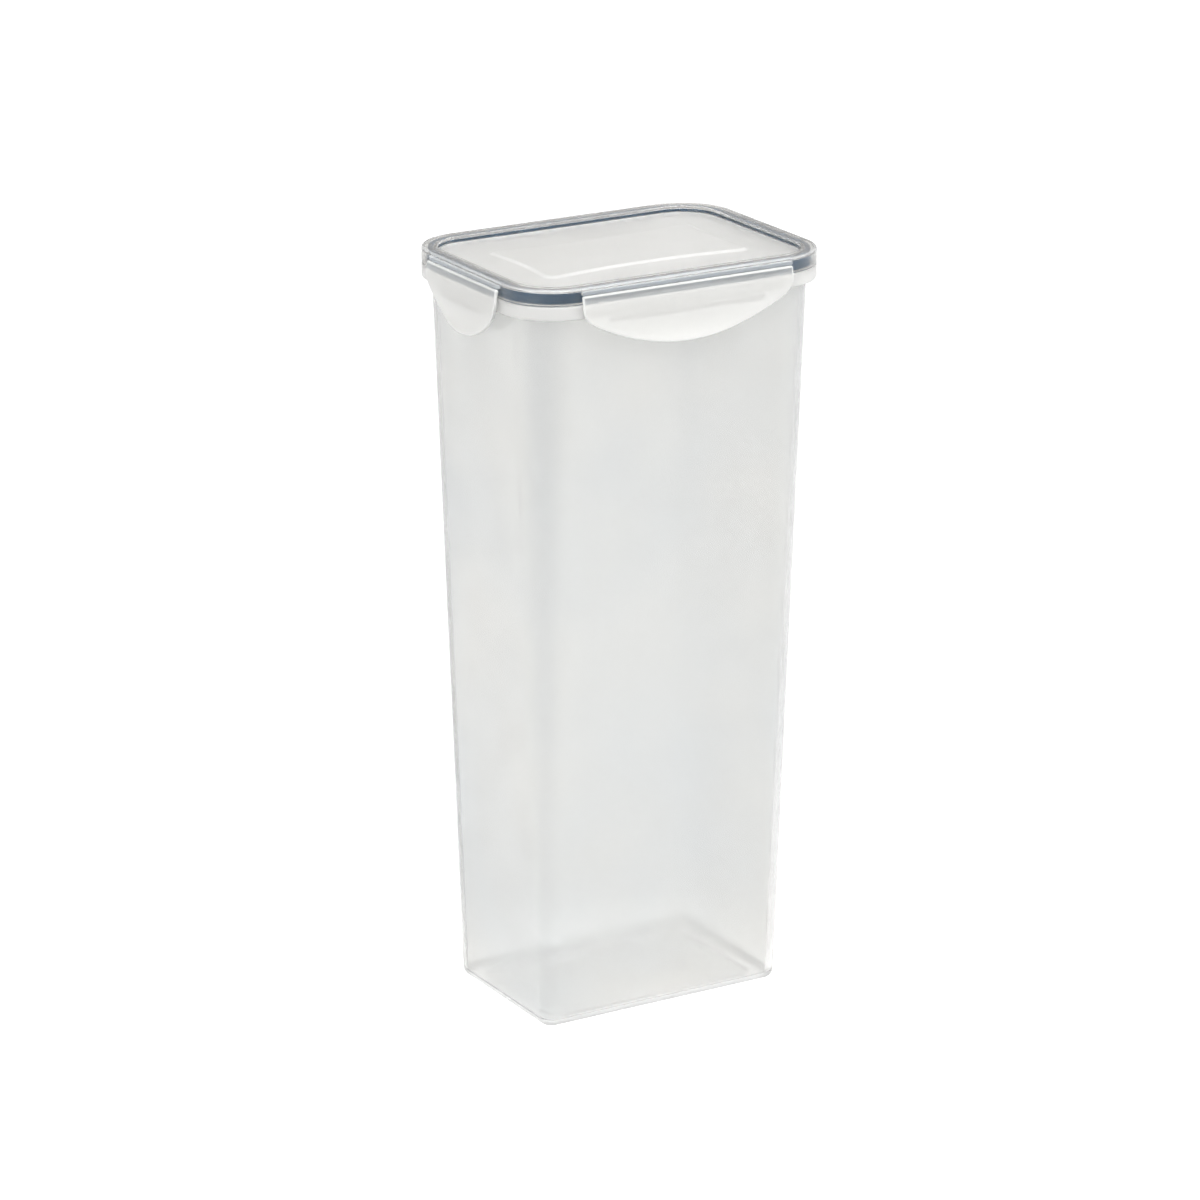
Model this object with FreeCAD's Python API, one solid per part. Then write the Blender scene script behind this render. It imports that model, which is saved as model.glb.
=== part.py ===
import FreeCAD
import Part

import math
import os

# A tall tapered food storage box with a clip lid, in millimetres. The box stands on the origin with
# +Z up, its long side along X and its front towards -Y. The lid's rim holds a soft seal over the
# box's mouth. Four flaps hang from the rim on living hinges, and a bar inside each flap snaps under
# the box's collar.

V = FreeCAD.Vector

# Overall size
HEIGHT = 280.0                  # foot to the top of the lid's rim
LID_LENGTH = 126.0              # along X, over the lid's skirt
LID_WIDTH = 93.0                # along Y, over the lid's skirt
LID_CORNER = 20.0               # plan radius of the skirt's corners

# Box
FOOT_LENGTH = 99.5
FOOT_WIDTH = 65.0
FOOT_CORNER = 5.0
WALL = 1.5
FLOOR = 1.8
FOOT_EDGE = 2.0                 # rounding under the box
FLOOR_EDGE = 2.0                # rounding inside, round the floor
FOOT_RING = 7.0                 # width of the ring that the box stands on
FOOT_RECESS = 0.7               # how far the base is lifted inside that ring
COLLAR_HEIGHT = 5.0
COLLAR_WALL = 1.4
COLLAR_REACH = 3.7              # from the box's wall out to the collar's face
COLLAR_EDGE = 0.5               # rounding round the collar's bottom
LIP_WALL = 1.2
LIP_EDGE = 0.35                 # rounding on the mouth

# Lid
RIM_WIDTH = 5.8                 # flat top of the rim
RIM_DEPTH = 5.8                 # skirt and inner wall, top to bottom
RIM_WALL = 1.2
RIM_EDGE = 0.9                  # outer rounding on top of the rim
RIM_INNER_EDGE = 0.5
SKIRT_EDGE = 0.3                # rounding round the skirt's bottom
PANEL_SINK = 2.3                # panel below the rim's top
PANEL = 1.3
PLATEAU_LENGTH = 84.0           # from corner to corner
PLATEAU_WIDTH = 45.0
PLATEAU_LONG_BOW = 4.0          # how far the long edges bow inwards
PLATEAU_SHORT_BOW = 2.0
PLATEAU_CORNER = 5.0
PLATEAU_RISE = 0.7
PLATEAU_EDGE = 0.4

# Seal
SEAL_WEB = 1.6                  # over the lip's top
SEAL_LEG = 1.5                  # between the skirt and the lip
SEAL_LEG_END = 0.5              # leg stops this far above the skirt's bottom
SEAL_EDGE = 0.4

# Flaps and living hinges
LONG_FLAP = 86.0                # width of the front and back flaps
SHORT_FLAP = 50.0               # width of the left and right flaps
FLAP_WALL = 1.4
FLAP_DROP = 23.7                # flap's lower lip below the lid's top
FLAP_BULGE = 0.4                # outward, over the collar
FLAP_DIP = 0.3                  # inward, under the collar
FLAP_FLARE = 1.0                # outward, at the lower lip
FLAP_EDGE = 0.45
LONG_FLAP_CURVE = 78.0          # radius of the lower edge
SHORT_FLAP_CURVE = 27.5
FLAP_CORNER = 8.0
LEDGE_REACH = 1.3               # hinge ledge, out from the skirt
LEDGE_TOP = 0.9                 # below the lid's top
LEDGE_HEIGHT = 1.3
LEDGE_EDGE = 0.4
FILM = 0.3
FILM_LENGTH = 0.4               # from the ledge to the top of the flap's edge
FILM_SHIFT = 0.45               # film's middle, in from the hinge axis
BAR_HEIGHT = 0.8                # locking bar's nose
BAR_SLOPE = 1.6                 # ramp below the nose
BAR_CATCH = 1.2                 # how far the bar reaches under the collar
LONG_BAR = 62.0
SHORT_BAR = 30.0

# Clearances
FIT = 0.2                       # lid on box
SEAL_FIT = 0.1                  # seal in its channel
HINGE_GAP = 0.3                 # flap behind the skirt
FILM_GAP = 0.05                 # film over the flap's round top edge
CATCH_GAP = 0.3                 # bar under the collar

# Levels, worked out from the top down
SKIRT_END = HEIGHT - RIM_DEPTH
COLLAR_TOP = SKIRT_END - FIT
COLLAR_END = COLLAR_TOP - COLLAR_HEIGHT
PANEL_TOP = HEIGHT - PANEL_SINK
CHANNEL_TOP = HEIGHT - RIM_WALL
LIP_TOP = CHANNEL_TOP - SEAL_WEB
LEDGE_END = HEIGHT - LEDGE_TOP - LEDGE_HEIGHT
BEAD = FLAP_WALL / 2            # the flap's top edge is a half round about its hinge axis
AXIS_OUT = HINGE_GAP + BEAD     # hinge axis, out from the skirt
AXIS_Z = LEDGE_END - FILM_LENGTH - BEAD

# Distances in from the skirt's face
CHANNEL_IN = RIM_WIDTH - RIM_WALL
LIP_IN = CHANNEL_IN - FIT


def rounded_wire(length, width, corner, z):
    """A rectangle with round corners, centred on Z, as eight edges."""
    x, y = length / 2, width / 2
    bend = corner * (1 - math.sqrt(0.5))
    edges = []
    for sx, sy in ((1, 1), (-1, 1), (-1, -1), (1, -1)):
        on_x = V(sx * x, sy * (y - corner), z)
        on_y = V(sx * (x - corner), sy * y, z)
        middle = V(sx * (x - bend), sy * (y - bend), z)
        first, last = (on_x, on_y) if sx * sy > 0 else (on_y, on_x)
        if edges:
            edges.append(Part.makeLine(edges[-1].Vertexes[-1].Point, first))
        edges.append(Part.Arc(first, middle, last).toShape())
    edges.append(Part.makeLine(edges[-1].Vertexes[-1].Point, edges[0].Vertexes[0].Point))
    return Part.Wire(edges)


def slab(inset, z0, z1):
    """A solid of the lid's plan, set in all round, between two heights."""
    wire = rounded_wire(LID_LENGTH - 2 * inset, LID_WIDTH - 2 * inset, LID_CORNER - inset, z0)
    return Part.Face(wire).extrude(V(0, 0, z1 - z0))


def ring(outer, inner, z0, z1):
    """A ring round the lid's plan between two insets and two heights."""
    return slab(outer, z0, z1).cut(slab(inner, z0, z1))


def body_wire(inset, z):
    """The box's tapered outline at a height, set in by a wall."""
    share = z / COLLAR_END
    length = FOOT_LENGTH + (LID_LENGTH - 2 * COLLAR_REACH - FOOT_LENGTH) * share
    width = FOOT_WIDTH + (LID_WIDTH - 2 * COLLAR_REACH - FOOT_WIDTH) * share
    corner = FOOT_CORNER + (LID_CORNER - COLLAR_REACH - FOOT_CORNER) * share
    return rounded_wire(length - 2 * inset, width - 2 * inset, corner - inset, z)


def body_loft(inset, z0, z1):
    """The tapered body between two heights, with straight sides."""
    return Part.makeLoft([body_wire(inset, z0), body_wire(inset, z1)], True, True)


def level_edges(shape, z):
    """Edges that lie at one height."""
    return [e for e in shape.Edges if abs(e.BoundBox.ZMin - z) < 1e-4 and abs(e.BoundBox.ZMax - z) < 1e-4]


def within(edge, inset):
    """Whether an edge lies inside the lid's plan, set in all round."""
    box = edge.BoundBox
    x, y = LID_LENGTH / 2 - inset + 1e-3, LID_WIDTH / 2 - inset + 1e-3
    return box.XMax < x and box.XMin > -x and box.YMax < y and box.YMin > -y


def make_box():
    """Box: tapered shell, foot ring, downturned collar and the lip that the seal sits on."""
    shell = body_loft(0, 0, COLLAR_TOP)
    shell = shell.makeFillet(FOOT_EDGE, level_edges(shell, 0))
    core = body_loft(WALL, FLOOR, COLLAR_TOP)
    core = core.makeFillet(FLOOR_EDGE, level_edges(core, FLOOR))
    collar_web = slab(0, COLLAR_TOP - WALL, COLLAR_TOP)
    collar_skirt = ring(0, COLLAR_WALL, COLLAR_END, COLLAR_TOP)
    outer = [e for e in level_edges(collar_skirt, COLLAR_END) if not within(e, COLLAR_WALL)]
    collar_skirt = collar_skirt.makeFillet(COLLAR_EDGE, outer)
    lip = ring(LIP_IN - LIP_WALL, LIP_IN, COLLAR_TOP, LIP_TOP)
    lip = lip.makeFillet(LIP_EDGE, level_edges(lip, LIP_TOP))
    base = rounded_wire(FOOT_LENGTH - 2 * FOOT_RING, FOOT_WIDTH - 2 * FOOT_RING, FOOT_CORNER, 0)
    recess = Part.Face(base).extrude(V(0, 0, FOOT_RECESS))
    return shell.fuse([collar_web, collar_skirt]).cut(core).fuse(lip).cut(recess).removeSplitter()


def side_bar(width, out, z0, z1):
    """A bar along the front of the lid, from inside the skirt's wall out past its face."""
    face = -LID_WIDTH / 2
    return Part.makeBox(width, out + RIM_WALL / 2, z1 - z0, V(-width / 2, face - out, z0))


def make_ledge(width, reach):
    """Ledge that one living hinge hangs from, with its outer edges rounded."""
    ledge = side_bar(width, reach, LEDGE_END, HEIGHT - LEDGE_TOP)
    outer = [e for e in ledge.Edges if e.BoundBox.YMax < -LID_WIDTH / 2 - reach + 1e-4]
    return ledge.makeFillet(LEDGE_EDGE, outer)


def make_plateau():
    """Raised field on the lid's panel: its four edges bow inwards between round corners."""
    x, y, z = PLATEAU_LENGTH / 2, PLATEAU_WIDTH / 2, PANEL_TOP
    waist_x, waist_y = x - PLATEAU_SHORT_BOW, y - PLATEAU_LONG_BOW
    corners = [V(x, y, z), V(-x, y, z), V(-x, -y, z), V(x, -y, z)]
    waists = [V(0, waist_y, z), V(-waist_x, 0, z), V(0, -waist_y, z), V(waist_x, 0, z)]
    ends = corners[1:] + corners[:1]
    arcs = [Part.Arc(a, middle, b).toShape() for a, middle, b in zip(corners, waists, ends)]
    block = Part.Face(Part.Wire(arcs)).extrude(V(0, 0, PLATEAU_RISE))
    upright = [e for e in block.Edges if e.BoundBox.ZLength > PLATEAU_RISE / 2]
    block = block.makeFillet(PLATEAU_CORNER, upright)
    return block.makeFillet(PLATEAU_EDGE, level_edges(block, z + PLATEAU_RISE))


def make_lid():
    """Lid: rim with its seal channel, sunk panel, plateau and four hinge ledges."""
    rim = slab(0, SKIRT_END, HEIGHT)
    rim = rim.makeFillet(RIM_EDGE, level_edges(rim, HEIGHT))
    rim = rim.cut(ring(RIM_WALL, CHANNEL_IN, SKIRT_END, CHANNEL_TOP))
    rim = rim.cut(slab(RIM_WIDTH, PANEL_TOP, HEIGHT))
    rim = rim.cut(slab(RIM_WIDTH, SKIRT_END, PANEL_TOP - PANEL))
    inner = [e for e in level_edges(rim, HEIGHT) if within(e, RIM_WIDTH)]
    rim = rim.makeFillet(RIM_INNER_EDGE, inner)
    outer = [e for e in level_edges(rim, SKIRT_END) if not within(e, RIM_WALL)]
    rim = rim.makeFillet(SKIRT_EDGE, outer)
    ledges = [turned(make_ledge(width, LEDGE_REACH), side) for side, width in SIDES]
    return rim.fuse(ledges + [make_plateau()]).removeSplitter()


def make_seal():
    """Seal: a web over the box's lip and a leg outside it, in the lid's channel."""
    outer = RIM_WALL + SEAL_FIT
    inner = CHANNEL_IN - SEAL_FIT
    leg_end = SKIRT_END + SEAL_LEG_END
    web = ring(outer, inner, LIP_TOP, CHANNEL_TOP)
    leg = ring(outer, outer + SEAL_LEG, leg_end, LIP_TOP)
    seal = web.fuse(leg).removeSplitter()
    return seal.makeFillet(SEAL_EDGE, level_edges(seal, leg_end))


def flap_section(y):
    """Side view of a flap: half round on the hinge axis, bulge, dip and flared lip."""
    lip = HEIGHT - FLAP_DROP
    over_collar = (COLLAR_TOP + COLLAR_END) / 2
    under_collar = COLLAR_END - (COLLAR_END - lip) / 3
    outs = ((BEAD, AXIS_Z), (BEAD + FLAP_BULGE, over_collar), (BEAD - FLAP_DIP, under_collar))
    outs += ((BEAD + FLAP_FLARE, lip),)
    outer = Part.BSplineCurve()
    outer.interpolate([V(0, y - out, z) for out, z in outs])
    inner = Part.BSplineCurve()
    inner.interpolate([V(0, y - out + FLAP_WALL, z) for out, z in outs])
    top = Part.Arc(V(0, y - BEAD, AXIS_Z), V(0, y, AXIS_Z + BEAD), V(0, y + BEAD, AXIS_Z))
    bottom = Part.makeLine(outer.EndPoint, inner.EndPoint)
    return Part.Wire(Part.sortEdges([top.toShape(), inner.toShape(), bottom, outer.toShape()])[0])


def flap_outline(width, curve, y):
    """Front view of a flap: straight hinge edge, round corners and a curved lower edge."""
    lip = HEIGHT - FLAP_DROP
    top = AXIS_Z + BEAD
    half = width / 2
    centre = lip + curve
    # The corner round touches the side line and the lower curve from inside.
    across = half - FLAP_CORNER
    corner_z = centre - math.sqrt((curve - FLAP_CORNER) ** 2 - across ** 2)
    low = V(across, 0, corner_z - centre).normalize()
    meet = V(0, 0, centre) + low * curve
    slant = V(low.x + 1, 0, low.z).normalize()
    corner_middle = V(across, 0, corner_z) + slant * FLAP_CORNER

    def at(point, side):
        return V(side * point.x, y, point.z)

    edges = [Part.makeLine(V(-half, y, top), V(half, y, top))]
    for side in (1, -1):
        bend = V(side * half, y, corner_z)
        edges.append(Part.makeLine(V(side * half, y, top), bend))
        edges.append(Part.Arc(bend, at(corner_middle, side), at(meet, side)).toShape())
    edges.append(Part.Arc(at(meet, 1), V(0, y, lip), at(meet, -1)).toShape())
    return Part.Wire(Part.sortEdges(edges)[0])


def make_flap(width, curve, bar):
    """Front flap: its section carried across, cut to its outline, with the locking bar inside."""
    axis_y = -LID_WIDTH / 2 - AXIS_OUT
    deep = 4 * (FLAP_WALL + FLAP_FLARE + FLAP_BULGE)
    sheet = Part.Face(flap_section(axis_y)).extrude(V(width, 0, 0))
    sheet.translate(V(-width / 2, 0, 0))
    outline = Part.Face(flap_outline(width, curve, axis_y - deep / 2)).extrude(V(0, deep, 0))
    flap = sheet.common(outline)
    rims = [e for e in flap.Edges if e.BoundBox.ZMin < AXIS_Z - BEAD and e.Length > FLAP_WALL * 1.1]
    flap = flap.makeFillet(FLAP_EDGE, rims)
    face = -LID_WIDTH / 2
    nose = COLLAR_END - CATCH_GAP
    root = axis_y + BEAD - FLAP_WALL / 2
    points = [(root, nose), (face + BAR_CATCH, nose), (face + BAR_CATCH, nose - BAR_HEIGHT)]
    points.append((root, nose - BAR_HEIGHT - BAR_SLOPE))
    wedge = Part.makePolygon([V(-bar / 2, y, z) for y, z in points + points[:1]])
    return flap.fuse(Part.Face(wedge).extrude(V(bar, 0, 0))).removeSplitter()


def make_film(width):
    """Living hinge: a thin strip from the ledge down to its flap's round top edge, cut to hug it."""
    axis = V(-width / 2, -LID_WIDTH / 2 - AXIS_OUT, AXIS_Z)
    strip = Part.makeBox(width, FILM, LEDGE_END - AXIS_Z, axis + V(0, FILM_SHIFT - FILM / 2, 0))
    return strip.cut(Part.makeCylinder(BEAD + FILM_GAP, width, axis, V(1, 0, 0)))


def turned(shape, side):
    """A piece made at the front, carried to another side of the lid."""
    angle, shift = TURNS[side]
    shape = shape.copy()
    shape.rotate(V(0, 0, 0), V(0, 0, 1), angle)
    direction = V(0, -1, 0)
    direction = FreeCAD.Rotation(V(0, 0, 1), angle).multVec(direction)
    shape.translate(direction * shift)
    return shape


# Sides of the lid: turn about Z, and how much further out that side lies than the front
LONGER = (LID_LENGTH - LID_WIDTH) / 2
TURNS = {"front": (0, 0), "right": (90, LONGER), "back": (180, 0), "left": (270, LONGER)}
SIDES = [("front", LONG_FLAP), ("back", LONG_FLAP), ("left", SHORT_FLAP), ("right", SHORT_FLAP)]

pieces = {"box_body": make_box(), "lid": make_lid(), "lid_seal": make_seal()}
for side, width in SIDES:
    curve, bar = (LONG_FLAP_CURVE, LONG_BAR) if width == LONG_FLAP else (SHORT_FLAP_CURVE, SHORT_BAR)
    pieces[side + "_flap"] = turned(make_flap(width, curve, bar), side)
    pieces[side + "_hinge_film"] = turned(make_film(width), side)

os.makedirs("parts", exist_ok=True)
for name, shape in pieces.items():
    shape.exportStep("parts/" + name + ".step")
    box = shape.BoundBox
    print(name, "solids", len(shape.Solids), "valid", shape.isValid(), "volume", round(shape.Volume, 1),
          "box", [round(v, 2) for v in (box.XMin, box.YMin, box.ZMin, box.XMax, box.YMax, box.ZMax)])
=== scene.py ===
# %% [markdown]
# # A food storage box with a clip lid
#
# The real box is three mouldings: a tall tapered box of natural polypropylene, a lid with four flaps
# on living hinges, and a blue-grey silicone ring pressed into the lid's rim. Shapes are worked out in
# millimetres and go into their meshes in metres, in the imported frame, so each piece lands where the
# construction says.

# %% Load the frame
import math

import bmesh
import bpy
import numpy as np
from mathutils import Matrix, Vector


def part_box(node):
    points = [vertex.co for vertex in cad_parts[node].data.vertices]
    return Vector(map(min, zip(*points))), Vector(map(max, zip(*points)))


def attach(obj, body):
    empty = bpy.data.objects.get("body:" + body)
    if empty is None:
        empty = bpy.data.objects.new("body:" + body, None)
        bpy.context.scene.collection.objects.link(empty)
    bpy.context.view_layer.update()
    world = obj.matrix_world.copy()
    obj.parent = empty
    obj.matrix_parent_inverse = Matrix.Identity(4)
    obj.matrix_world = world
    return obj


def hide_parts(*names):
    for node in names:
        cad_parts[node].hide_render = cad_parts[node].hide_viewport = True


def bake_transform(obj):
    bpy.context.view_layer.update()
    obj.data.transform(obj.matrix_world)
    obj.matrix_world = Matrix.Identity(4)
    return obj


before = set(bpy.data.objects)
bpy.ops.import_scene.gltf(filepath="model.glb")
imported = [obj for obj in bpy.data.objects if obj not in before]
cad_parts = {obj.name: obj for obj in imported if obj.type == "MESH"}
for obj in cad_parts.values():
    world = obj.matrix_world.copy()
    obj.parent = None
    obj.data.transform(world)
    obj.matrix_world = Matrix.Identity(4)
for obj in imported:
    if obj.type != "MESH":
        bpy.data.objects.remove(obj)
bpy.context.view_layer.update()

MM = 0.001

# %% [markdown]
# ## Sizes
#
# The collar of the box and the skirt of the lid share one outline, a rounded rectangle. Its half
# lengths come from the frame. Walls and roundings are the moulding's own and are named, in
# millimetres, where they are first needed. Depths are measured down from the top of the lid, insets
# in from the skirt's face.

# %% Shared outline and levels
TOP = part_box("lid")[1].z / MM
HALF_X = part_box("box_body")[1].x / MM
HALF_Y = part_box("box_body")[1].y / MM
CORNER = 20.0

RIM_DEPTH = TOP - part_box("lid")[0].z / MM
FIT, COLLAR_HEIGHT = 0.2, 5.0
COLLAR_TOP = TOP - RIM_DEPTH - FIT
COLLAR_END = COLLAR_TOP - COLLAR_HEIGHT
LIP_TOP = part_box("box_body")[1].z / MM
print("top", round(TOP, 2), "lip", round(LIP_TOP, 2))
print("collar", round(COLLAR_END, 2), "to", round(COLLAR_TOP, 2))

# %% [markdown]
# ## Rings, the one helper behind every moulding
#
# A moulded box is a wall profile carried round a rounded rectangle. So one row of points is a ring
# given by half length, half width, corner radius and height, and a piece is a stack of such rings.
# A mesh made this way has clean quads, and every rounding is really there to catch the light. On the
# straight sides the points crowd towards the ends, where the lid's ledges start and stop.

# %% Rings
CORNER_STEPS = 20
SIDE_ENDS = np.array([0.002, 0.0045, 0.02])
ALONG = np.concatenate([SIDE_ENDS, np.linspace(0.06, 0.94, 23), 1 - SIDE_ENDS[::-1]])
CORNER_SIGNS = ((1, 1), (-1, 1), (-1, -1), (1, -1))


def rings(half_x, half_y, corner, z):
    """Stack of rounded rectangles, shape (rows, points, 3), in millimetres.

    A corner's points are centre + radius * (cos t, sin t) for a quarter turn t, with the centre one
    radius in from both sides. Straight sides are the line between neighbouring corners.
    """
    half_x, half_y, corner, z = np.broadcast_arrays(*np.atleast_1d(half_x, half_y, corner, z))
    arcs = []
    for k, (sign_x, sign_y) in enumerate(CORNER_SIGNS):
        t = np.radians(90 * k) + np.linspace(0, math.pi / 2, CORNER_STEPS)
        x = (sign_x * (half_x - corner))[:, None] + corner[:, None] * np.cos(t)
        y = (sign_y * (half_y - corner))[:, None] + corner[:, None] * np.sin(t)
        arcs.append(np.stack([x, y], -1))
    parts = []
    for arc, following in zip(arcs, arcs[1:] + arcs[:1]):
        last = arc[:, -1:]
        parts += [arc, last + (following[:, :1] - last) * ALONG[:, None]]
    plan = np.concatenate(parts, axis=1)
    return np.concatenate([plan, np.broadcast_to(z[:, None, None], plan.shape[:2] + (1,))], -1)


print("points in a ring", rings(HALF_X, HALF_Y, CORNER, TOP).shape[1])

# %% [markdown]
# ## From a grid to a mesh
#
# Neighbours in the grid of points become faces. Points that fall together are welded, which closes
# the pole in the middle of a flat field, and the faces are turned outwards. Smooth shading would smear
# the light over tight edges, so edges that bend by more than a set angle stay sharp.

# %% Skins
WELD = 2e-6
SHARP_ANGLE = math.radians(40)


def weld_and_turn(mesh):
    """Joins points closer than the weld distance and turns all faces outwards."""
    work = bmesh.new()
    work.from_mesh(mesh)
    bmesh.ops.remove_doubles(work, verts=work.verts, dist=WELD)
    bmesh.ops.recalc_face_normals(work, faces=work.faces)
    work.to_mesh(mesh)
    work.free()


def skin(name, grid, material, wrap_rows=False):
    """Mesh object from a grid of points in millimetres: each face joins four neighbours.

    Each row is a closed loop, and wrap_rows also joins the last row to the first.
    """
    rows, columns = grid.shape[:2]
    index = np.arange(rows * columns).reshape(rows, columns)
    near = index if wrap_rows else index[:-1]
    far = np.roll(index, -1, 0) if wrap_rows else index[1:]
    faces = np.stack([near, np.roll(near, -1, 1), np.roll(far, -1, 1), far], -1).reshape(-1, 4)
    mesh = bpy.data.meshes.new(name)
    mesh.from_pydata((grid.reshape(-1, 3) * MM).tolist(), [], faces.tolist())
    weld_and_turn(mesh)
    mesh.shade_smooth()
    mesh.set_sharp_from_angle(angle=SHARP_ANGLE)
    mesh.materials.append(material)
    piece = bpy.data.objects.new(name, mesh)
    bpy.context.scene.collection.objects.link(piece)
    print(name, len(mesh.polygons), "faces")
    return piece


print("weld distance", WELD / MM, "mm, sharp past", round(math.degrees(SHARP_ANGLE)), "degrees")

# %% [markdown]
# ## Profiles
#
# A moulding has no sharp edge, so a wall's section is drawn as a few corner points, each with its own
# rounding. The sections of the lid and the collar are pairs of inset and depth, carried round the
# shared outline.

# %% Rounded profiles


def rounded(corners, radii, steps=5):
    """Polyline of pairs with an arc at each corner, which starts radius * tan(turn / 2) before it."""
    corners = np.asarray(corners, float)
    out = []
    for k, (corner, radius) in enumerate(zip(corners, radii)):
        if radius == 0:
            out.append(corner[None])
            continue
        come = corner - corners[k - 1]
        go = corners[(k + 1) % len(corners)] - corner
        come, go = come / np.linalg.norm(come), go / np.linalg.norm(go)
        turn = math.atan2(come[0] * go[1] - come[1] * go[0], come @ go)
        normal = np.array([-come[1], come[0]]) * np.sign(turn)
        start = corner - come * radius * math.tan(abs(turn) / 2)
        t = np.linspace(0, abs(turn), steps)[:, None]
        out.append(start + radius * (np.sin(t) * come + (1 - np.cos(t)) * normal))
    return np.concatenate(out)


def rim_rings(profile):
    """Rings of the shared outline from a profile of (inset, depth below the top)."""
    inset, depth = profile[:, 0], profile[:, 1]
    return rings(HALF_X - inset, HALF_Y - inset, CORNER - inset, TOP - depth)


print("points of a rounded step", len(rounded([(0, 0), (1, 0), (1, 1)], (0, 0.5, 0))))

# %% [markdown]
# ## Finishes
#
# Natural polypropylene is cloudy: light goes through the wall, but scattered, so edges behind it stay
# visible while everything further away turns to a soft blur. A rough glass with some white body does
# that. Slow noise makes the melt's faint cloudiness and a fine grain breaks up the gloss. Both lie on
# Object coordinates, so they stay with the piece from any side.

# %% Materials and noise
NOISE_LOW, NOISE_HIGH = 0.3, 0.7


def new_material(name):
    """Empty node material with a Principled shader; returns material, nodes, links and shader."""
    material = bpy.data.materials.new(name)
    material.use_nodes = True
    tree = material.node_tree
    return material, tree.nodes, tree.links, tree.nodes["Principled BSDF"]


def noise(nodes, links, scale, detail):
    """Noise on Object coordinates, in repeats per metre."""
    where = nodes.new("ShaderNodeTexCoord")
    texture = nodes.new("ShaderNodeTexNoise")
    texture.inputs["Scale"].default_value = scale
    texture.inputs["Detail"].default_value = detail
    links.new(where.outputs["Object"], texture.inputs["Vector"])
    return texture.outputs["Fac"]


def between(nodes, links, factor, low, high):
    """Maps the range that noise mostly fills onto a range from low to high."""
    remap = nodes.new("ShaderNodeMapRange")
    remap.inputs["From Min"].default_value = NOISE_LOW
    remap.inputs["From Max"].default_value = NOISE_HIGH
    remap.inputs["To Min"].default_value = low
    remap.inputs["To Max"].default_value = high
    links.new(factor, remap.inputs["Value"])
    return remap.outputs["Result"]


print("noise mostly lies from", NOISE_LOW, "to", NOISE_HIGH)

# %% Blended colours
OPAQUE = 1.0


def blend_to(nodes, links, factor, goal):
    """Mix node that reaches a fixed colour as a value goes to 1. The colour at 0 is still open."""
    mix = nodes.new("ShaderNodeMix")
    mix.data_type = "RGBA"
    mix.inputs["B"].default_value = (*goal, OPAQUE)
    links.new(factor, mix.inputs["Factor"])
    return mix


def two_tone(nodes, links, factor, dark, light):
    """Blends two fixed colours by a 0 to 1 value."""
    mix = blend_to(nodes, links, factor, light)
    mix.inputs["A"].default_value = (*dark, OPAQUE)
    return mix.outputs["Result"]


def towards(nodes, links, factor, colour, goal):
    """Blends a made colour towards a fixed one by a 0 to 1 value."""
    mix = blend_to(nodes, links, factor, goal)
    links.new(colour, mix.inputs["A"])
    return mix.outputs["Result"]


print("blended colours have opacity", OPAQUE)

# %% Cloudy plastic
PLASTIC_IOR = 1.49
CLOUD_SCALE, CLOUD_DETAIL = 14, 2
GRAIN_SCALE, GRAIN_DETAIL, GRAIN_SPREAD = 60, 3, 0.04


def kept_number(nodes, name):
    """A number that the mesh keeps for each of its points."""
    kept = nodes.new("ShaderNodeAttribute")
    kept.attribute_name = name
    return kept.outputs["Fac"]


def cloudy_plastic(name, dark, light, clear, rough, painted_corner_shade=None):
    """Translucent moulded plastic: rough glass with a white body, cloudy and finely grained."""
    material, nodes, links, shader = new_material(name)
    cloud = between(nodes, links, noise(nodes, links, CLOUD_SCALE, CLOUD_DETAIL), 0, 1)
    colour = two_tone(nodes, links, cloud, dark, light)
    # Painted shade: the mesh's corner number darkens the colour on the box's upright corners.
    if painted_corner_shade:
        colour = towards(nodes, links, kept_number(nodes, "corner"), colour, painted_corner_shade)
    links.new(colour, shader.inputs["Base Color"])
    grain = noise(nodes, links, GRAIN_SCALE, GRAIN_DETAIL)
    grain = between(nodes, links, grain, rough - GRAIN_SPREAD, rough + GRAIN_SPREAD)
    links.new(grain, shader.inputs["Roughness"])
    shader.inputs["Transmission Weight"].default_value = clear
    shader.inputs["IOR"].default_value = PLASTIC_IOR
    print(name, "clear", clear, "rough", rough)
    return material


print("plastic bends light by", PLASTIC_IOR)

# %% [markdown]
# ## Box
#
# The box tapers from the collar to a smaller foot with tighter corners, so it slips out of its mould
# and nests. The rings run from the middle of the underside, over the foot ring, up the outside, round
# the downturned collar and the lip, then down the inside to the middle of the floor.

# %% Tapered rings
FOOT_X, FOOT_Y, FOOT_CORNER = 49.75, 32.5, 5.0
COLLAR_REACH, LEAST_CORNER = 3.7, 0.2


def body_outline(z):
    """Half length, half width and corner radius at a height: foot + (top - foot) * z / height."""
    share = z / COLLAR_END
    half_x = FOOT_X + (HALF_X - COLLAR_REACH - FOOT_X) * share
    half_y = FOOT_Y + (HALF_Y - COLLAR_REACH - FOOT_Y) * share
    return half_x, half_y, FOOT_CORNER + (CORNER - COLLAR_REACH - FOOT_CORNER) * share


def body_rings(inset, z, rounder=0):
    """Tapered outline at each height, set in by a wall.

    The corner radius is the outline's less the wall, plus rounder * (1 - z / height).
    """
    inset, z = np.broadcast_arrays(*np.atleast_1d(inset, z))
    half_x, half_y, corner = body_outline(z)
    corner = corner - inset + rounder * (1 - z / COLLAR_END).clip(0)
    return rings(half_x - inset, half_y - inset, np.maximum(corner, LEAST_CORNER), z)


def scaled_rings(half_x, half_y, corner, z, shares):
    """A flat field: one outline drawn in towards its middle, size * share for each ring."""
    shares = np.asarray(shares, float)
    return rings(half_x * shares, half_y * shares, corner * shares, z)


print("outline at the foot", body_outline(0))
print("outline under the collar", np.round(body_outline(COLLAR_END), 2).tolist())

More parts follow.
